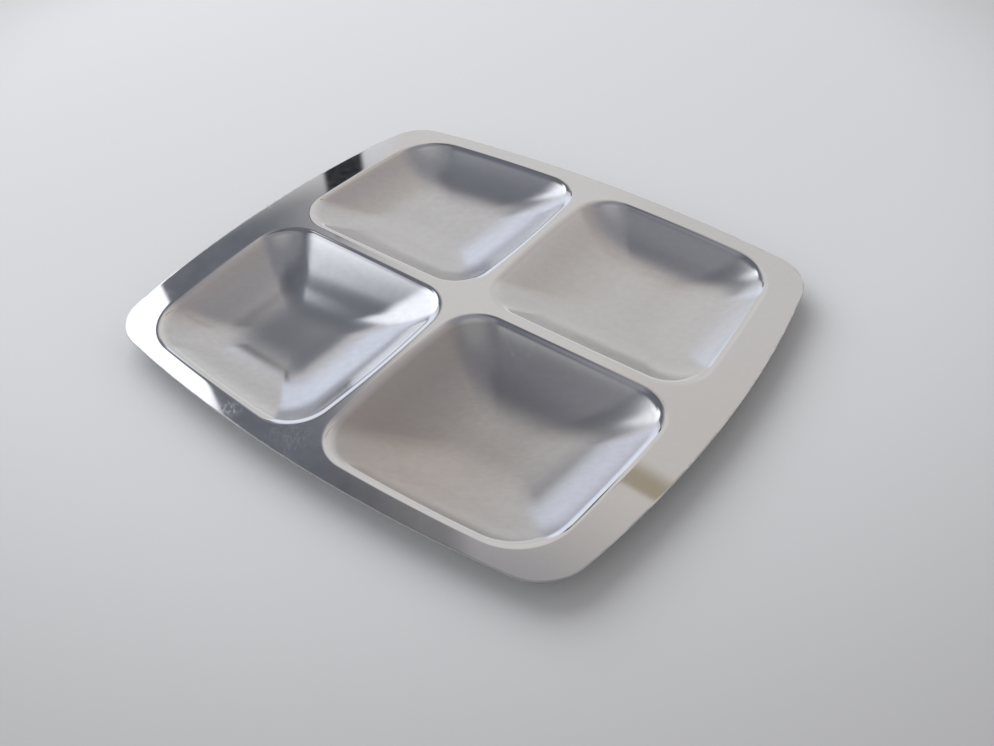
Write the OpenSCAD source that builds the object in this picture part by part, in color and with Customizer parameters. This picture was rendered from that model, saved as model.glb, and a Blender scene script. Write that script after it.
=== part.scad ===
// Serving plate with four wells, pressed from one sheet of stainless steel.
// The quarter of the sheet in +X +Y is worked out once and mirrored over both axes.
// Lengths are in millimetres. The plate rests on the flat feet of its wells at z = 0.

/* [Outline] */
// Length of the plate at the middle of its ends
plate_length = 260; // [230:1:320]
// Width of the plate at the middle of its long sides
plate_width = 227; // [200:1:280]
// Bow radius of the two ends
end_bow = 485; // [350:5:900]
// Bow radius of the two long sides
side_bow = 705; // [400:5:1200]
// Corner radius of the trimmed outline
plate_corner = 23; // [12:0.5:35]
// Thickness of the sheet
sheet = 0.8; // [0.5:0.1:1.2]

/* [Wells] */
// Rim left at the middle of the ends
end_rim = 17; // [10:0.5:30]
// Rim left at the middle of the long sides
side_rim = 8.5; // [6:0.5:25]
// Bow radius of the wells' outer sides
well_bow = 790; // [400:10:1500]
// Narrowest ridge between wells that lie along the length
cross_ridge = 2; // [1.8:0.1:8]
// Bow radius of the well sides along that ridge
cross_ridge_bow = 520; // [300:10:1500]
// Narrowest ridge between wells that lie across the width
long_ridge = 4; // [1.8:0.1:10]
// Bow radius of the well sides along that ridge
long_ridge_bow = 4000; // [600:100:6000]
// Corner radius of a well at the plate's corner
outer_corner = 26.5; // [16:0.5:34]
// Radius of a well's other three corners
inner_corner = 19; // [12:0.5:28]

/* [Section of a well] */
// Depth of a well, from the deck to its foot
well_depth = 11; // [6:0.1:16]
// How far the rounded lip reaches outside the well's outline
lip_reach = 0.6; // [0.3:0.05:0.85]
// Half of the depth over which the lip is rounded
lip_ease = 0.6; // [0.2:0.05:0.8]
// How far the dish would rise over the deck at its outline, if the lip were not rounded
lip_inset = 0.25; // [0:0.05:0.4]
// Flat foot, as a share of the well's size
foot_share = 0.1; // [0.06:0.01:0.3]
// Roundness of the dish: higher is flatter in the middle and steeper under the lip
dish_power = 2.6; // [2:0.1:4]

/* [Smoothness] */
// Steps along each side of a well
side_steps = 4; // [2:1:8]
// Steps round each corner of a well, an even number
corner_steps = 8; // [4:2:12]

/* [Hidden] */
half_length = plate_length / 2;
half_width = plate_width / 2;
// Outer and inner reach of the quarter's well on its middle lines, and its centre
well_far = [half_length - end_rim, half_width - side_rim];
well_near = [cross_ridge / 2, long_ridge / 2];
well_half = (well_far - well_near) / 2;
well_mid = well_near + well_half;
deck_z = sheet + well_depth;
// Rings from the foot to the lip, as shares of the way between them
ring_shares = [0, 0.16, 0.32, 0.47, 0.61, 0.74, 0.85, 0.935, 0.977, 1];

function point_on(arc, angle) = arc[0] + arc[1] * [cos(angle), sin(angle)];
function heading(v) = atan2(v.y, v.x);
function turned(from, to) = from + ((to - from) % 360 + 360) % 360;
function mix(a, b, share) = a + (b - a) * share;

// Where two circles meet, to the left of the line from the first centre to the second
function meet(c1, r1, c2, r2) =
    let (
        d = norm(c2 - c1),
        e = (c2 - c1) / d,
        a = (d * d + r1 * r1 - r2 * r2) / (2 * d),
        h = sqrt(r1 * r1 - a * a)
    )
    c1 + a * e + h * [-e.y, e.x];

// Four side circles [centre, radius] and four corner radii, both anticlockwise from +X,
// give eight tangent arcs [centre, radius, first angle, last angle]: side, corner, side and so on
function rounded(sides, radii) =
    let (
        corners = [for (k = [0 : 3])
            let (a = sides[k], b = sides[(k + 1) % 4])
            meet(a[0], a[1] - radii[k], b[0], b[1] - radii[k])],
        first = [for (k = [0 : 3]) heading(corners[(k + 3) % 4] - sides[k][0])],
        last = [for (k = [0 : 3]) heading(corners[k] - sides[k][0])]
    )
    [for (k = [0 : 3]) each [
        [sides[k][0], sides[k][1], first[k], turned(first[k], last[k])],
        [corners[k], radii[k], last[k], turned(last[k], first[(k + 1) % 4])]
    ]];

well_arcs = rounded(
    [
        [[well_far.x - well_bow, 0], well_bow],
        [[0, well_far.y - well_bow], well_bow],
        [[well_near.x + cross_ridge_bow, well_mid.y], cross_ridge_bow],
        [[well_mid.x, well_near.y + long_ridge_bow], long_ridge_bow]
    ],
    [outer_corner, inner_corner, inner_corner, inner_corner]
);
plate_arcs = rounded(
    [
        [[half_length - end_bow, 0], end_bow],
        [[0, half_width - side_bow], side_bow],
        [[end_bow - half_length, 0], end_bow],
        [[0, side_bow - half_width], side_bow]
    ],
    [plate_corner, plate_corner, plate_corner, plate_corner]
);

// The outline's X at a given Y on a bowed end, and its Y at a given X on a bowed side
function end_at(arc, y) = arc[0].x + sqrt(arc[1] * arc[1] - y * y);
function side_at(arc, x) = arc[0].y + sqrt(arc[1] * arc[1] - x * x);

// Where a ray leaves a circle that it starts inside
function ray_to(arc, from, angle) =
    let (
        d = [cos(angle), sin(angle)],
        m = from - arc[0],
        b = m * d
    )
    from + (sqrt(b * b - m * m + arc[1] * arc[1]) - b) * d;

// The trimmed edge that a ray from the outer well corner meets: an end, a long side or the corner between them
function edge_from_corner(angle) =
    let (
        from = well_arcs[1][0],
        on_end = ray_to(plate_arcs[0], from, angle),
        on_side = ray_to(plate_arcs[2], from, angle)
    )
    on_end.y < point_on(plate_arcs[0], plate_arcs[0][3]).y ? on_end
    : on_side.x < point_on(plate_arcs[2], plate_arcs[2][2]).x ? on_side
    : ray_to(plate_arcs[1], from, angle);

// One point of the well's outline: [place, direction out of the well, place on the quarter's edge that it faces]
function lip_point(k, share) =
    let (
        arc = well_arcs[k],
        angle = mix(arc[2], arc[3], share),
        p = point_on(arc, angle),
        a = point_on(arc, arc[2]),
        b = point_on(arc, arc[3]),
        early = 2 * share,
        late = 2 * share - 1,
        x = k == 3 ? mix(a.x, 0, early) : k == 5 ? mix(0, b.x, late) : p.x,
        y = k == 5 ? mix(a.y, 0, early) : k == 7 ? mix(0, b.y, late) : p.y,
        facing =
            k == 0 ? [end_at(plate_arcs[0], y), y]
            : k == 1 ? edge_from_corner(angle)
            : k == 2 ? [x, side_at(plate_arcs[2], x)]
            : k == 3 ? (late < 0 ? [x, side_at(plate_arcs[2], x)] : [0, mix(half_width, b.y, late)])
            : k == 4 ? [0, y]
            : k == 5 ? (late < 0 ? [0, y] : [x, 0])
            : k == 6 ? [x, 0]
            : late < 0 ? [mix(a.x, half_length, early), 0]
            : [end_at(plate_arcs[0], y), y]
    )
    [p, [cos(angle), sin(angle)], facing];

lip = [for (k = [0 : 7])
    let (steps = k % 2 == 0 ? side_steps : corner_steps)
    for (n = [0 : steps - 1]) lip_point(k, n / steps)];
around = len(lip);

// Depth under the deck at a share of the way from the well's middle to its outline
function sunk(share) =
    let (rise = (well_depth + lip_inset) * pow((share - foot_share) / (1 - foot_share), dish_power))
    eased(well_depth - rise);

// Rounds the step from the deck into the well
function eased(depth) =
    depth > lip_ease ? depth : pow(depth + lip_ease, 2) / (4 * lip_ease);

function ring(share) = [for (l = lip)
    let (p = mix(well_mid, l[0], share))
    [p.x, p.y, deck_z - sunk(share)]];
function on_deck(p) = [p.x, p.y, deck_z];

// Upper skin of the quarter, from the foot out to the edge
upper = [
    for (share = ring_shares) ring(mix(foot_share, 1, share)),
    [for (l = lip) on_deck(l[0] + lip_reach * l[1])],
    [for (l = lip) on_deck(l[2])]
];
rings = len(upper);

// The sheet's direction of thickness: square to the skin in the well, upright on the foot and the deck
function upright(j) = j == 0 || j > rings - 3;
function square_to(j, i) =
    let (
        across = upper[j + 1][i] - upper[j - 1][i],
        along = upper[j][(i + 1) % around] - upper[j][(i + around - 1) % around],
        n = cross(across, along)
    )
    n / norm(n);
under = [for (j = [0 : rings - 1]) [for (i = [0 : around - 1])
    upper[j][i] - sheet * (upright(j) ? [0, 0, 1] : square_to(j, i))]];

// Signs of the four quarters, and the stretch of the quarter's edge that lies on the trimmed outline
quarters = [[1, 1], [-1, 1], [-1, -1], [1, -1]];
trim_first = around - corner_steps / 2;
trim_steps = 2 * side_steps + 2 * corner_steps;

function index(q, skin, j, i) = ((q * 2 + skin) * rings + j) * around + i % around;
function flipped(face, flip) = flip ? [for (n = [len(face) - 1 : -1 : 0]) face[n]] : face;
function quad(a, b, c, d) = [[a, b, c], [a, c, d]];

sheet_points = [for (s = quarters, skin = [upper, under], row = skin, p = row)
    [s.x * p.x, s.y * p.y, p.z]];
sheet_faces = [for (q = [0 : 3])
    let (mirrored = quarters[q].x * quarters[q].y < 0)
    each [
        for (skin = [0, 1]) each [
            flipped([for (i = [0 : around - 1]) index(q, skin, 0, i)], mirrored != (skin == 0)),
            for (j = [0 : rings - 2], i = [0 : around - 1])
                each [for (t = quad(
                    index(q, skin, j, i),
                    index(q, skin, j, i + 1),
                    index(q, skin, j + 1, i + 1),
                    index(q, skin, j + 1, i)
                )) flipped(t, mirrored != (skin == 1))]
        ],
        for (i = [trim_first : trim_first + trim_steps - 1])
            each [for (t = quad(
                index(q, 0, rings - 1, i),
                index(q, 0, rings - 1, i + 1),
                index(q, 1, rings - 1, i + 1),
                index(q, 1, rings - 1, i)
            )) flipped(t, mirrored)]
    ]];

// The pressed sheet: four dished wells, the cross of ridges between them and the trimmed rim
module plate() {
    color([0.77, 0.76, 0.75])
        polyhedron(points = sheet_points, faces = sheet_faces, convexity = 6);
}

plate();
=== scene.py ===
# %% [markdown]
# This lesson dresses a serving plate that is pressed from one sheet of stainless steel.
# The real plate is a single skin: four dished wells, narrow ridges between them and a plain trimmed rim.
# The CAD part gives the size and the place, so the lesson starts by loading it and keeping its box.

# %% Frame and units
import bmesh
import bpy
import numpy as np
from mathutils import Matrix, Vector


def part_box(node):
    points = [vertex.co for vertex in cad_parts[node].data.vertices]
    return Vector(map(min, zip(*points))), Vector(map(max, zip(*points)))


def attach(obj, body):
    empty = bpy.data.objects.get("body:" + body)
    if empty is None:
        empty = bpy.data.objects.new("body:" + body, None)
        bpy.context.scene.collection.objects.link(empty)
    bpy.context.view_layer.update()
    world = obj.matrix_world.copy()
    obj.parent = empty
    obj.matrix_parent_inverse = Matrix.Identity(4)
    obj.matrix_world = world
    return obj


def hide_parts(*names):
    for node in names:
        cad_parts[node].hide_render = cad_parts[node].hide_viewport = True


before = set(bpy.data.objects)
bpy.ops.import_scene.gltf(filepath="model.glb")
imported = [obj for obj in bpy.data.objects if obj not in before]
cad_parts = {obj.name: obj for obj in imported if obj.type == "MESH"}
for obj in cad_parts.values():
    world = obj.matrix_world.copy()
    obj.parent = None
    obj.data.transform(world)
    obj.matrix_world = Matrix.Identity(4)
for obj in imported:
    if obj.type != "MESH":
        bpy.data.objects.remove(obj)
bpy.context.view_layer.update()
mm = 0.001
low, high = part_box("plate")
plate_length = high.x - low.x
plate_width = high.y - low.y
deck_z = high.z
print("CAD plate:", [round(side / mm, 2) for side in high - low], "mm")

# %% [markdown]
# The outline has four bowed sides with rounded corners, and so has each well.
# Such an outline could be traced by hand, but eight tangent arcs give it exactly and stay easy to change.
# One quarter of the plate is worked out, in +X +Y, and the other three are its mirror pictures.

# %% Sizes of the outline and the wells
sheet = 0.8 * mm
end_bow = 485 * mm
side_bow = 705 * mm
plate_corner = 23 * mm
end_rim = 17 * mm
side_rim = 8.5 * mm
well_bow = 790 * mm
cross_ridge = 2 * mm
cross_ridge_bow = 520 * mm
long_ridge = 4 * mm
long_ridge_bow = 4000 * mm
outer_corner = 26.5 * mm
inner_corner = 19 * mm

half_size = np.array([plate_length, plate_width]) / 2
well_far = half_size - [end_rim, side_rim]
well_near = np.array([cross_ridge, long_ridge]) / 2
well_half = (well_far - well_near) / 2
well_mid = well_near + well_half
print("well:", np.round(2 * well_half / mm, 1), "mm, middle at", np.round(well_mid / mm, 1))


# %% Tangent arcs
def meet(centre_1, radius_1, centre_2, radius_2):
    """Where two circles meet, to the left of the line from the first centre to the second."""
    apart = centre_2 - centre_1
    distance = np.linalg.norm(apart)
    ahead = apart / distance
    along = (distance**2 + radius_1**2 - radius_2**2) / (2 * distance)
    aside = np.sqrt(radius_1**2 - along**2)
    return centre_1 + along * ahead + aside * np.array([-ahead[1], ahead[0]])


def heading(v):
    """Angle of a direction in the XY plane."""
    return np.arctan2(v[1], v[0])


def rounded(sides, radii):
    """Eight tangent arcs (centre, radius, first angle, last angle), side and corner by turns, anticlockwise
    from +X: each corner circle sits inside its two side circles and touches both."""
    corners = []
    for k in range(4):
        centre_1, radius_1 = sides[k]
        centre_2, radius_2 = sides[(k + 1) % 4]
        corners.append(meet(centre_1, radius_1 - radii[k], centre_2, radius_2 - radii[k]))
    first = [heading(corners[k - 1] - sides[k][0]) for k in range(4)]
    last = [heading(corners[k] - sides[k][0]) for k in range(4)]
    arcs = []
    for k in range(4):
        after = first[(k + 1) % 4]
        arcs.append((sides[k][0], sides[k][1], first[k], first[k] + (last[k] - first[k]) % (2 * np.pi)))
        arcs.append((corners[k], radii[k], last[k], last[k] + (after - last[k]) % (2 * np.pi)))
    return arcs


def place_at(x, y):
    """A place in the XY plane as an array."""
    return np.array([x, y], float)


well_arcs = rounded(
    [
        (place_at(well_far[0] - well_bow, 0), well_bow),
        (place_at(0, well_far[1] - well_bow), well_bow),
        (place_at(well_near[0] + cross_ridge_bow, well_mid[1]), cross_ridge_bow),
        (place_at(well_mid[0], well_near[1] + long_ridge_bow), long_ridge_bow),
    ],
    [outer_corner, inner_corner, inner_corner, inner_corner],
)
trim_arcs = rounded(
    [
        (place_at(half_size[0] - end_bow, 0), end_bow),
        (place_at(0, half_size[1] - side_bow), side_bow),
        (place_at(end_bow - half_size[0], 0), end_bow),
        (place_at(0, side_bow - half_size[1]), side_bow),
    ],
    [plate_corner] * 4,
)
print("arcs:", len(well_arcs), "round a well,", len(trim_arcs), "round the plate")

# %% [markdown]
# The skin is a grid that runs round the well in one direction and outwards in the other.
# So each point of the well's outline needs a partner further out: a place on the trimmed edge,
# or on a middle line of the plate, where the mirrored quarter takes over.

# %% Partners on the quarter's edge
end_arc, corner_arc, side_arc = trim_arcs[:3]
corner_low = end_arc[0][1] + end_arc[1] * np.sin(end_arc[3])
corner_left = side_arc[0][0] + side_arc[1] * np.cos(side_arc[2])
print("trim corner: from", np.round([corner_left / mm, corner_low / mm], 1), "mm outwards")


def end_place(y):
    """Places on the bowed end for given Y: the end circle solved for X."""
    return np.stack([end_arc[0][0] + np.sqrt(end_arc[1] ** 2 - y**2), y], -1)


def side_place(x):
    """Places on the bowed long side for given X: the side circle solved for Y."""
    return np.stack([x, side_arc[0][1] + np.sqrt(side_arc[1] ** 2 - x**2)], -1)


def ray_to(arc, start, ahead):
    """Where rays from a point inside a circle leave it: the quadratic's larger root along each ray."""
    off = start - arc[0]
    b = ahead @ off
    reach = np.sqrt(b**2 - off @ off + arc[1] ** 2) - b
    return start + reach[:, None] * ahead


def corner_place(ahead):
    """Where rays from the well's outer corner centre meet the trim: its end, long side or corner."""
    start = well_arcs[1][0]
    on_end = ray_to(end_arc, start, ahead)
    on_side = ray_to(side_arc, start, ahead)
    place = np.where(on_side[:, :1] < corner_left, on_side, ray_to(corner_arc, start, ahead))
    return np.where(on_end[:, 1:] < corner_low, on_end, place)


def trim_direction(place):
    """Outward direction of the trim at places on it, from the centre of the arc that carries each."""
    x, y = place[:, :1], place[:, 1:]
    centre = np.where(y < corner_low, end_arc[0], np.where(x < corner_left, side_arc[0], corner_arc[0]))
    out = place - centre
    return out / np.linalg.norm(out, axis=1, keepdims=True)


# %% The well's outline and its partners
side_steps = 28
corner_steps = 20


def halves(shares, start, turn, stop):
    """Runs from start to turn over the first half of the shares and on to stop over the second half."""
    early = np.clip(2 * shares, 0, 1)
    late = np.clip(2 * shares - 1, 0, 1)
    return start + (turn - start) * early + (stop - turn) * late


def lip_stretch(k):
    """One arc of the well's outline: places, their partners, and whether each partner lies on the trim."""
    centre, radius, first, last = well_arcs[k]
    steps = corner_steps if k % 2 else side_steps
    shares = np.arange(steps) / steps
    angles = first + (last - first) * shares
    ahead = np.stack([np.cos(angles), np.sin(angles)], -1)
    place = centre + radius * ahead
    start, stop = centre + radius * np.array([[np.cos(a), np.sin(a)] for a in (first, last)])
    x, y = place.T
    zero = np.zeros(steps)
    half_length, half_width = half_size
    if k == 0:
        partner = end_place(y)
    elif k == 1:
        partner = corner_place(ahead)
    elif k == 2:
        partner = side_place(x)
    elif k == 3:
        partner = side_place(halves(shares, start[0], 0, 0))
        down = np.stack([zero, halves(shares, half_width, half_width, stop[1])], -1)
        partner = np.where(shares[:, None] < 0.5, partner, down)
    elif k == 4:
        partner = np.stack([zero, y], -1)
    elif k == 5:
        partner = np.stack([halves(shares, 0, 0, stop[0]), halves(shares, start[1], 0, 0)], -1)
    elif k == 6:
        partner = np.stack([x, zero], -1)
    else:
        partner = end_place(halves(shares, 0, 0, stop[1]))
        along = np.stack([halves(shares, start[0], half_length, half_length), zero], -1)
        partner = np.where(shares[:, None] < 0.5, along, partner)
    trimmed = (k < 3) | ((k == 3) & (shares <= 0.5)) | ((k == 7) & (shares >= 0.5))
    return place, partner, trimmed


stretches = [lip_stretch(k) for k in range(8)]
lip, partner, trimmed = (np.concatenate(part) for part in zip(*stretches))
around = len(lip)
print("outline:", around, "points, of which", trimmed.sum(), "face the trim")

# %% [markdown]
# Pressed steel shows its form through what it mirrors, so a well's section matters more than its outline.
# A spline could be bent to the photograph by eye. Here a power of the way from foot to lip gives the depth,
# so that every contour is a smaller copy of the well's outline, as in a sheet drawn over a smooth punch.

# %% Section of a well
well_depth = deck_z - sheet
lip_ease = 1.2 * mm
lip_inset = 0.85 * mm
foot_share = 0.1
dish_power = 2.6


def eased(depth, ease):
    """The depth where it is over the ease, zero where it is under minus the ease, a parabola between."""
    between = np.clip(depth + ease, 0, 2 * ease) ** 2 / (4 * ease)
    return np.where(depth > ease, depth, between)


def sunk(shares):
    """Depth under the deck: all of it less a power of the way from foot to lip, rounded at the lip."""
    reach = np.maximum(0, shares - foot_share) / (1 - foot_share)
    rise = (well_depth + lip_inset) * reach**dish_power
    return eased(well_depth - rise, lip_ease)


print("well depth:", round(well_depth / mm, 2), "mm")

# %% [markdown]
# The upper skin is the section over rings that crowd towards the lip, then a few rings over the deck.
# The under skin is the same grid moved in by the sheet's thickness along its own normals,
# which is what pressing does to a sheet. The trimmed edge gets a small deburred round.

# %% Upper skin
foot_rings = 4
dish_rings = 46
lip_rings = 8
crowding = 1.7
lip_reach = 0.6 * mm
edge_round = 0.22 * mm
deck_shares = np.array([0.12, 0.3, 0.5, 0.7, 0.86, 0.96, 1])
rubbed_share = 0.92
polished_share = 0.965

foot_shares = foot_share * np.arange(1, foot_rings) / foot_rings
dish_shares = 1 - (1 - foot_share) * np.linspace(1, 0, dish_rings) ** crowding
lip_shares = 1 + lip_reach / well_half.max() * np.arange(1, lip_rings + 1) / lip_rings
well_shares = np.concatenate([foot_shares, dish_shares, lip_shares])

well_rings = well_mid + well_shares[:, None, None] * (lip - well_mid)
trim_out = np.where(trimmed[:, None], trim_direction(partner), 0)
deck_end = partner - edge_round * trim_out
deck_rings = well_rings[-1] + deck_shares[:, None, None] * (deck_end - well_rings[-1])
ring_places = np.concatenate([well_rings, deck_rings])
ring_depths = np.concatenate([sunk(well_shares), np.zeros(len(deck_shares))])
ring_heights = np.repeat(deck_z - ring_depths[:, None], around, 1)
upper = np.concatenate([ring_places, ring_heights[..., None]], -1)
lip_polish = np.clip((well_shares - rubbed_share) / (polished_share - rubbed_share), 0, 1)
upper_polish = np.concatenate([lip_polish, np.ones(len(deck_shares))])
print("upper skin:", upper.shape[0], "rings of", upper.shape[1], "points")


# %% Under skin
def normals(skin):
    """Unit normals of a ring grid: the cross product of its steps outwards and round."""
    outwards = np.gradient(skin, axis=0)
    roundabout = np.roll(skin, -1, 1) - np.roll(skin, 1, 1)
    up = np.cross(outwards, roundabout)
    return up / np.linalg.norm(up, axis=-1, keepdims=True)


ring_count = len(upper)
lean = normals(upper)
upright = np.array([0, 0, 1.0])
lean[:foot_rings] = upright
lean[-1] = upright
dish_end = foot_rings + dish_rings - 2
kept_rings = np.r_[0:foot_rings, foot_rings + 1 : dish_end : 2, dish_end:ring_count]
under = (upper - sheet * lean)[kept_rings]
under[-len(deck_shares):, :, :2] = deck_rings
print("under skin:", under.shape[0], "rings, lowest at", round(under[..., 2].min() / mm, 4), "mm")

# %% Deburred cut edge
edge_steps = 5
sheared = -1.0
first_trimmed = np.flatnonzero(trimmed & ~np.roll(trimmed, 1))[0]
trim_order = np.roll(np.arange(around), -first_trimmed)[: trimmed.sum()]
turn = np.radians(90) * np.arange(1, edge_steps + 1) / edge_steps


def edge_roll(last_ring, turn, side):
    """Quarter round from a skin to the cut face: out by the sine of the turn, in by 1 less its cosine."""
    out = edge_round * np.sin(turn)[:, None, None] * trim_out[trim_order]
    drop = side * edge_round * (1 - np.cos(turn))[:, None] * np.ones(len(trim_order))
    return last_ring[trim_order] + np.concatenate([out, drop[..., None]], -1)


edge = np.concatenate([edge_roll(upper[-1], turn, -1), edge_roll(under[-1], turn, 1)[::-1]])
edge = np.concatenate([upper[-1][trim_order][None], edge, under[-1][trim_order][None]])
print("cut edge:", edge.shape[0], "rings, rounded by", edge_round / mm, "mm")


# %% [markdown]
# All four quarters become one closed mesh. Each mirrored quarter has its faces turned round in the arrays,
# and the seams on the middle lines are merged, so that the sheet is one skin as on the real plate.

# %% One closed mesh
seam_gap = 0.002 * mm


def grid_quads(rows, columns, start, closed):
    """Quads of a grid whose points are numbered row by row from start, closed round or open."""
    r, c = np.meshgrid(np.arange(rows - 1), np.arange(columns - (not closed)), indexing="ij")
    ahead = (c + 1) % columns
    corners = [r * columns + c, (r + 1) * columns + c, (r + 1) * columns + ahead, r * columns + ahead]
    return start + np.stack(corners, -1).reshape(-1, 4)


def pole_fan(pole, ring_start):
    """Triangles from one middle point to the first ring."""
    c = np.arange(around)
    return np.stack([np.full(around, pole), ring_start + c, ring_start + (c + 1) % around], -1)


def quarter(sign_x, sign_y):
    """Points, finish shares, quads and triangles of one quarter, mirrored by its signs."""
    poles = [[*well_mid, skin[0, 0, 2]] for skin in (upper, under)]
    points = np.concatenate([poles, *(skin.reshape(-1, 3) for skin in (upper, under, edge))])
    under_polish = np.ones(under.shape[0] * around)
    edge_polish = np.full(edge.shape[0] * len(trim_order), sheared)
    polish = np.concatenate([[0, 0], np.repeat(upper_polish, around), under_polish, edge_polish])
    upper_start = len(poles)
    under_start = upper_start + upper.shape[0] * around
    edge_start = under_start + under.shape[0] * around
    quads = np.concatenate([
        grid_quads(upper.shape[0], around, upper_start, True),
        grid_quads(under.shape[0], around, under_start, True)[:, ::-1],
        grid_quads(edge.shape[0], len(trim_order), edge_start, False),
    ])
    triangles = np.concatenate([pole_fan(0, upper_start), pole_fan(1, under_start)[:, ::-1]])
    if sign_x * sign_y < 0:
        quads, triangles = quads[:, ::-1], triangles[:, ::-1]
    return points * [sign_x, sign_y, 1], polish, quads, triangles


def plate_mesh():
    """The four quarters in one mesh, with doubles on the seams merged."""
    points, polish, faces, start = [], [], [], 0
    for sign_x, sign_y in ((1, 1), (-1, 1), (-1, -1), (1, -1)):
        quarter_points, quarter_polish, quads, triangles = quarter(sign_x, sign_y)
        points.append(quarter_points)
        polish.append(quarter_polish)
        faces += (quads + start).tolist() + (triangles + start).tolist()
        start += len(quarter_points)
    mesh = bpy.data.meshes.new("plate_skin")
    mesh.from_pydata(np.concatenate(points).tolist(), [], faces)
    mesh.attributes.new("polish", "FLOAT", "POINT").data.foreach_set("value", np.concatenate(polish))
    joined = bmesh.new()
    joined.from_mesh(mesh)
    bmesh.ops.remove_doubles(joined, verts=joined.verts, dist=seam_gap)
    open_edges = sum(not e.is_manifold for e in joined.edges)
    print("mesh:", len(joined.faces), "faces,", open_edges, "open edges,",
          round(joined.calc_volume(signed=True) / mm**3), "mm3")
    joined.to_mesh(mesh)
    joined.free()
    mesh.shade_smooth()
    return mesh


plate = bpy.data.objects.new("plate_sheet", plate_mesh())
bpy.context.scene.collection.objects.link(plate)
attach(plate, "root")
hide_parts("plate")

# %% [markdown]
# Shader maths reads best as sums. Nodes could be linked one by one, but then the formula gets lost.
# So a small class wraps a socket: adding or multiplying two sockets adds the Math node for it,
# and one method makes any other node.


# %% Shader sums
class Wire:
    """One output socket of a node tree. Sums and products of wires add Math nodes."""

    def __init__(self, tree, socket=None):
        self.tree = tree
        self.socket = socket

    def make(self, kind, settings=None, values=None, out=0):
        """Adds a node: its settings first, then a value or a wire for each named input."""
        node = self.tree.nodes.new(kind)
        for name, setting in (settings or {}).items():
            setattr(node, name, setting)
        for name, value in (values or {}).items():
            if isinstance(value, Wire):
                self.tree.links.new(value.socket, node.inputs[name])
            else:
                node.inputs[name].default_value = value
        return Wire(self.tree, node.outputs[out])

    def sum(self, operation, *values):
        """A Math node of the given operation over numbers or wires."""
        return self.make("ShaderNodeMath", {"operation": operation}, dict(enumerate(values)))

    def __add__(self, other):
        return self.sum("ADD", self, other)

    def __sub__(self, other):
        return self.sum("SUBTRACT", self, other)

    def __rsub__(self, other):
        return self.sum("SUBTRACT", other, self)

    def __mul__(self, other):
        return self.sum("MULTIPLY", self, other)

    __radd__ = __add__
    __rmul__ = __mul__

    def rises(self, start, stop):
        """0 below start and 1 above stop, smooth between."""
        limits = {"Value": self, "From Min": start, "From Max": stop}
        return self.make("ShaderNodeMapRange", {"interpolation_type": "SMOOTHSTEP"}, limits)

    def falls(self, start, stop):
        """1 below start and 0 above stop, smooth between."""
        return 1 - self.rises(start, stop)

    def between(self, first, last, soft):
        """1 between two limits, with edges that are soft by the given width."""
        half = soft / 2
        return self.rises(first - half, first + half) * self.falls(last - half, last + half)

    def mixed(self, one, other):
        """Colour that goes from one to the other as this wire goes from 0 to 1."""
        first_colour = 6
        second_colour = 7
        mixed_colour = 2
        values = {0: self, first_colour: one, second_colour: other}
        return self.make("ShaderNodeMix", {"data_type": "RGBA"}, values, mixed_colour)


def start_material(name):
    """A material with its Principled shader, the shader's node and a wire to start sums from."""
    material = bpy.data.materials.new(name)
    material.use_nodes = True
    shader = material.node_tree.nodes["Principled BSDF"]
    return material, shader, Wire(material.node_tree)


def colour(red, green, blue):
    """An opaque colour from its linear red, green and blue."""
    return (red, green, blue, 1)


# %% [markdown]
# Worn stainless steel is a soft mirror, and its polish is uneven. The rim and the lips stay bright,
# use dulls the wells, wiping leaves streaks, knocks leave hairlines and heat leaves a trace of brown.
# A picture of such marks could be wrapped over the plate, but it would stretch on the walls of the wells.
# So the marks are small changes of colour and roughness, driven by noise and by places on the plate.

# %% Places on the plate
material, mirror, steel = start_material("polished_steel")
here = steel.make("ShaderNodeTexCoord", out="Object")
here_x = steel.make("ShaderNodeSeparateXYZ", None, {0: here}, "X")
here_y = steel.make("ShaderNodeSeparateXYZ", None, {0: here}, "Y")
polish = steel.make("ShaderNodeAttribute", {"attribute_name": "polish"}, out="Fac")

ridge_blend = 4 * mm
front = here_y.falls(-ridge_blend, ridge_blend)
right = here_x.rises(-ridge_blend, ridge_blend)
front_right = front * right
well = 1 - steel.sum("ABSOLUTE", polish)
cut = polish.falls(sheared, sheared / 2)


def near(x, y, reach):
    """1 at a place on the plate, falling smoothly to 0 at the given reach, all in millimetres."""
    ends = {0: here, 1: Vector((x * mm, y * mm, deck_z))}
    away = steel.make("ShaderNodeVectorMath", {"operation": "DISTANCE"}, ends, "Value")
    return away.falls(0, reach * mm)


heated = near(45, -85, 55)
rim_scuff = near(-35, -109, 7)
long_scuff = near(-3, -104, 20)
well_scuff = near(37, -16, 15)
scuffed = rim_scuff + 0.5 * long_scuff + 0.3 * well_scuff
print("places on the plate:", len(steel.tree.nodes), "nodes")

# %% Smudges, haze, streaks and scratches
wipe_turn = np.radians(37)
scratch_turn = np.radians(-50)
noise_middle = 0.5


def noise(length, width, detail, turn=0.0, distortion=0.0):
    """Noise from 0 to 1 whose grain has a length and a width in millimetres and is turned about Z."""
    turned = {"Vector": here, "Rotation": (0, 0, turn), "Scale": (length * mm, width * mm, length * mm)}
    place = steel.make("ShaderNodeMapping", {"vector_type": "TEXTURE"}, turned)
    values = {"Vector": place, "Detail": detail, "Distortion": distortion}
    return steel.make("ShaderNodeTexNoise", None, values)


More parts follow.
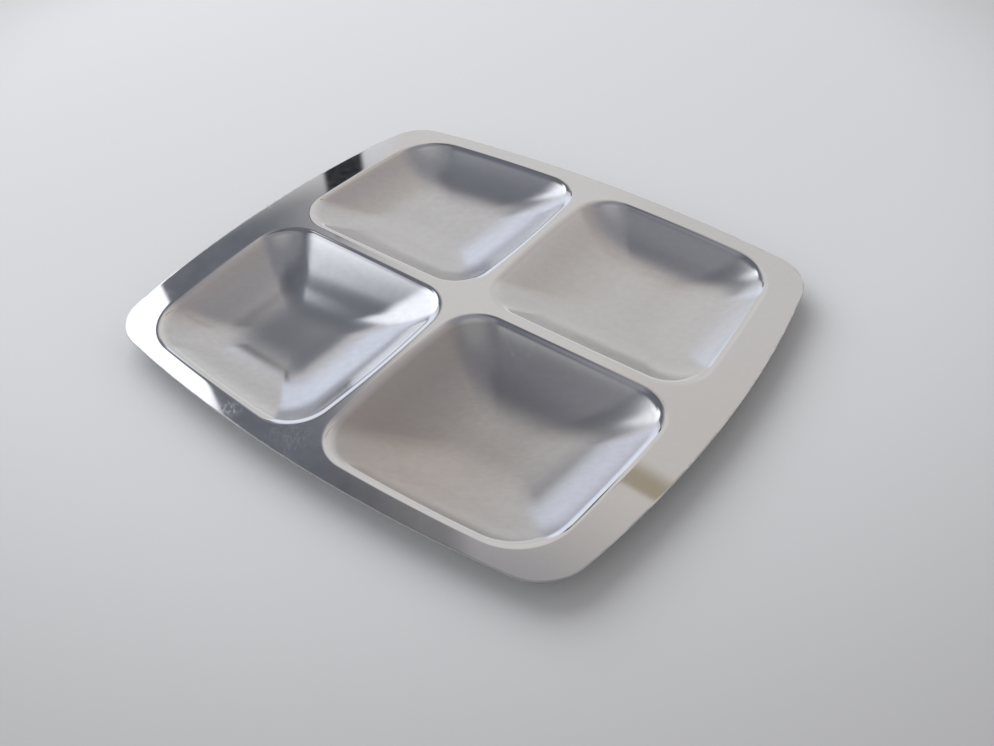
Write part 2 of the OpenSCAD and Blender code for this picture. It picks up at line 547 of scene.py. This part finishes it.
smudge = noise(7, 7, detail=4, distortion=0.6).rises(0.35, 0.75)
haze = noise(22, 22, detail=2).rises(0.3, 0.7)
streak = noise(20, 0.9, detail=2, turn=wipe_turn).rises(0.3, 0.7)
grain = noise(14, 4, detail=1, turn=scratch_turn, distortion=1)
hairline = steel.sum("ABSOLUTE", grain - noise_middle).falls(0.005, 0.035)
scratch = scuffed * hairline
print("with the marks:", len(steel.tree.nodes), "nodes")

# %% Colour of the steel
clean_steel = colour(0.735, 0.735, 0.735)
cool_worn = colour(0.455, 0.46, 0.48)
warm_worn = colour(0.47, 0.462, 0.458)
heat_brown = colour(0.513, 0.442, 0.399)
bare_scratch = colour(0.9, 0.92, 0.95)
cut_steel = colour(0.4, 0.4, 0.4)
well_wear = 0.28
front_wear = 0.175
right_wear = 0.55
right_wear_lost = 0.45
streak_wear = 0.14
haze_wear = 0.05
heat_share = 0.7
scratch_share = 0.6

to_the_end = here_x.rises(5 * mm, 115 * mm)
worn = well * (well_wear + front_wear * front + front_right * (right_wear - right_wear_lost * to_the_end))
worn = worn + well * (streak_wear * (streak - noise_middle) + haze_wear * (haze - noise_middle))
worn_steel = right.mixed(cool_worn, warm_worn)
worn_steel = (heat_share * heated).mixed(worn_steel, heat_brown)
base = worn.mixed(clean_steel, worn_steel)
base = (scratch_share * scratch).mixed(base, bare_scratch)
base = cut.mixed(base, cut_steel)
print("with the colour:", len(steel.tree.nodes), "nodes")

# %% [markdown]
# A used mirror is sharp and milky at once: fine scratches scatter a little light over a clear picture.
# One rough shader would only blur the picture, so two are mixed: a sharp one, and a thin dull veil over it.

# %% Polish of the steel
clear_roughness = 0.03
well_roughness = 0.1
back_roughness = 0.06
front_right_roughness = 0.06
smudge_roughness = 0.012
scratch_roughness = 0.35
streak_roughness = 0.015
cut_roughness = 0.3
veil_roughness = 0.38
rim_veil = 0.03
well_veil = 0.06
front_right_veil = 0.05
haze_veil = 0.05
scratch_veil = 0.3

rubbed = well * (well_roughness + back_roughness * (1 - front) + front_right_roughness * front_right)
sharp = clear_roughness + rubbed + smudge_roughness * smudge
sharp = sharp + scratch_roughness * scratch + streak_roughness * well * streak + cut_roughness * cut
veiled = rim_veil + well * (well_veil + front_right_veil * front_right)
veiled = veiled + haze_veil * (haze - noise_middle) + scratch_veil * scratch

mirror.inputs["Metallic"].default_value = 1
steel.tree.links.new(base.socket, mirror.inputs["Base Color"])
steel.tree.links.new(sharp.socket, mirror.inputs["Roughness"])
dull = {"Metallic": 1, "Roughness": veil_roughness, "Base Color": base}
veil = steel.make("ShaderNodeBsdfPrincipled", None, dull, "BSDF")
shaders = {0: veiled, 1: Wire(steel.tree, mirror.outputs["BSDF"]), 2: veil}
finish = steel.make("ShaderNodeMixShader", None, shaders)
steel.tree.links.new(finish.socket, steel.tree.nodes["Material Output"].inputs["Surface"])
plate.data.materials.append(material)
print("steel:", len(steel.tree.nodes), "nodes")

# %% [markdown]
# The plate lies on plain pale paper, large enough that nothing else shows behind it.
# The paper gets darker away from the window. A painted room lights it evenly, so the falloff of the
# window's light is painted into the paper's colour.
# The paper lies a hair under the feet, so that two flat faces never share one plane.

# %% Floor
floor_size = 8.0
floor_gap = 0.05 * mm
floor_corners = ((-1, -1), (1, -1), (1, 1), (-1, 1))
lit_place = (-0.14, 0.15, 0)
lit_reach = 0.27
dim_reach = 0.53
lit_paper = colour(0.655, 0.668, 0.68)
dim_paper = colour(0.41, 0.41, 0.415)

floor_points = [(x * floor_size / 2, y * floor_size / 2, -floor_gap) for x, y in floor_corners]
floor_mesh = bpy.data.meshes.new("floor")
floor_mesh.from_pydata(floor_points, [], [(0, 1, 2, 3)])
floor = bpy.data.objects.new("floor", floor_mesh)
bpy.context.scene.collection.objects.link(floor)

floor_material, floor_shader, paper = start_material("pale_floor")
spot = paper.make("ShaderNodeTexCoord", out="Object")
away = paper.make("ShaderNodeVectorMath", {"operation": "DISTANCE"}, {0: spot, 1: lit_place}, "Value")
# painted light: the paper is lightest round lit_place and darker further away, as the window's light would
# fall off
paper_colour_with_painted_light = away.rises(lit_reach, dim_reach).mixed(lit_paper, dim_paper)
paper.tree.links.new(paper_colour_with_painted_light.socket, floor_shader.inputs["Base Color"])
floor_shader.inputs["Roughness"].default_value = 0.9
floor_shader.inputs["Specular IOR Level"].default_value = 0.2
floor_mesh.materials.append(floor_material)
print("floor:", floor_size, "m square")

# %% [markdown]
# A mirror needs something to mirror: here pale walls, a grey ceiling, and on the left a window with a blind
# and a dark strip beside it. Walls could be built, but from a small plate they are only directions,
# so they are painted on the world by direction, one soft-edged patch over another.
# Directions are in degrees: azimuth 0 is +Y, 90 is +X and -90 is -X, and elevation 90 is straight up.

# %% Directions of the room
world = bpy.data.worlds.new("room")
bpy.context.scene.world = world
world.use_nodes = True
room = Wire(world.node_tree)
ray = room.make("ShaderNodeTexCoord", out="Generated")
east = room.make("ShaderNodeSeparateXYZ", None, {0: ray}, "X")
north = room.make("ShaderNodeSeparateXYZ", None, {0: ray}, "Y")
up = room.make("ShaderNodeSeparateXYZ", None, {0: ray}, "Z")
degrees = 180 / np.pi
azimuth = room.sum("ARCTAN2", east, north) * degrees
elevation = room.sum("ARCSINE", up) * degrees
print("directions:", len(room.tree.nodes), "nodes")

# %% Walls and ceiling
pale_wall = colour(0.95, 0.95, 0.95)
wall = colour(0.71, 0.693, 0.688)
high_wall = colour(0.637, 0.587, 0.545)
warm_wall = colour(0.44, 0.4, 0.39)
panel = colour(0.9, 0.88, 0.87)
ceiling = colour(0.3, 0.3, 0.335)
panel_share = 0.2
dimmed_share = 0.08

tilted = elevation - 0.26 * azimuth
warm_part = azimuth.rises(-25, 7) * elevation.rises(36, 61)
panel_part = azimuth.between(-45, -29, 5) * elevation.between(22, 50, 6)
dimmed_part = azimuth.between(-27, -9, 6) * elevation.between(22, 50, 8)
light = elevation.rises(0, 13).mixed(pale_wall, wall)
light = elevation.rises(35, 64).mixed(light, high_wall)
light = warm_part.mixed(light, warm_wall)
light = (panel_share * panel_part).mixed(light, panel)
light = (dimmed_share * dimmed_part).mixed(light, warm_wall)
light = tilted.rises(57, 71.5).mixed(light, ceiling)
print("walls:", len(room.tree.nodes), "nodes")

# %% Window side
slate = colour(0.155, 0.163, 0.195)
glow = colour(0.95, 1.0, 1.15)
gap = colour(0.02, 0.022, 0.026)
shadow = colour(0.05, 0.052, 0.06)
window = colour(1.55, 1.58, 1.68)
low_wall = colour(0.42, 0.43, 0.48)
shadow_share = 0.5

slate_foot = (elevation + 0.2 * azimuth).rises(20.5, 22.5)
slate_part = azimuth.falls(-57, -44) * slate_foot * elevation.falls(61, 69)
glow_part = azimuth.falls(-47, -44.2) * (elevation - 0.18 * azimuth).falls(32, 42.5)
gap_part = azimuth.between(-50.4, -47.6, 0.4) * elevation.between(29, 35, 1)
shadow_part = azimuth.between(-56, -43.5, 4) * elevation.between(48.5, 60.5, 5)
low_part = azimuth.between(-100, -45, 3) * elevation.falls(5, 11)

blind = (elevation + 0.45 * azimuth).rises(13.4, 18.7)
lowered = azimuth.falls(-70, -68.4) * (elevation + 0.6 * azimuth).rises(-1.4, 4)
pane = (azimuth - 0.12 * elevation).falls(-67.7, -67.4)
window_part = pane * (1 - blind) * (1 - lowered) * elevation.falls(42, 61.5)

light = slate_part.mixed(light, slate)
light = glow_part.mixed(light, glow)
light = gap_part.mixed(light, gap)
light = (shadow_share * shadow_part).mixed(light, shadow)
light = window_part.mixed(light, window)
light = low_part.mixed(light, low_wall)
print("window side:", len(room.tree.nodes), "nodes")

# %% Rail, far sides and zenith
rail = colour(0.4, 0.35, 0.26)
side_glow = colour(0.95, 0.95, 0.96)
dim_side = colour(0.3, 0.3, 0.31)
bounce = colour(0.9, 0.9, 0.9)
zenith = colour(0.5, 0.5, 0.51)

rail_part = azimuth.between(-34, -10, 6) * tilted.rises(56, 57.2) * tilted.falls(58, 58.3)
side = elevation.rises(4, 24).mixed(side_glow, dim_side)
below_ceiling = elevation.falls(50, 70)
behind = 1 - azimuth.between(-125, 165, 20)
light = rail_part.mixed(light, rail)
light = (azimuth.rises(65, 95) * below_ceiling).mixed(light, side)
light = (behind * below_ceiling).mixed(light, bounce)
light = elevation.rises(72, 84).mixed(light, zenith)
room.tree.links.new(light.socket, room.tree.nodes["Background"].inputs["Color"])
print("room:", len(room.tree.nodes), "nodes")

# %% [markdown]
# A wide soft box high on the left lights the floor and draws the shadow under the rim.
# A photographer turns such a box until the steel doesn't show it, so it is left out of the mirror picture.

# %% Soft box
box_way = Vector((-0.66, 0.24, 0.71))
box_distance = 1.6
box_width = 1.6
box_watts = 15.5

soft_box = bpy.data.lights.new("soft_box", "AREA")
soft_box.shape = "DISK"
soft_box.size = box_width
soft_box.energy = box_watts
box_stand = bpy.data.objects.new("soft_box", soft_box)
box_stand.location = box_way.normalized() * box_distance
box_stand.rotation_euler = box_way.to_track_quat("Z", "Y").to_euler()
box_stand.visible_glossy = False
bpy.context.scene.collection.objects.link(box_stand)
print("soft box:", box_width, "m wide,", box_distance, "m away")

# %% [markdown]
# The camera stands where the photograph was taken from, found by matching the plate's outline and lips.
# Its focal length is known in pixels, and Blender wants millimetres on a film of a given width.

# %% Camera
image_width = 994
focal_pixels = 923.4
film_width = 36
nearest = 10 * mm
camera_place = Vector((211.5, -242.0, 279.3)) * mm
camera_aim = Vector((40.6, -30.4, 11.8)) * mm
camera_roll = np.radians(-2.84)

lens = bpy.data.cameras.new("camera")
lens.sensor_width = film_width
lens.lens = focal_pixels * film_width / image_width
lens.clip_start = nearest
camera = bpy.data.objects.new("camera", lens)
bpy.context.scene.collection.objects.link(camera)
look = (camera_aim - camera_place).to_track_quat("-Z", "Y").to_matrix().to_4x4()
camera.matrix_world = Matrix.Translation(camera_place) @ look @ Matrix.Rotation(camera_roll, 4, "Z")
bpy.context.scene.camera = camera
bpy.context.scene.view_settings.view_transform = "Standard"
print("camera:", round(lens.lens, 2), "mm lens")
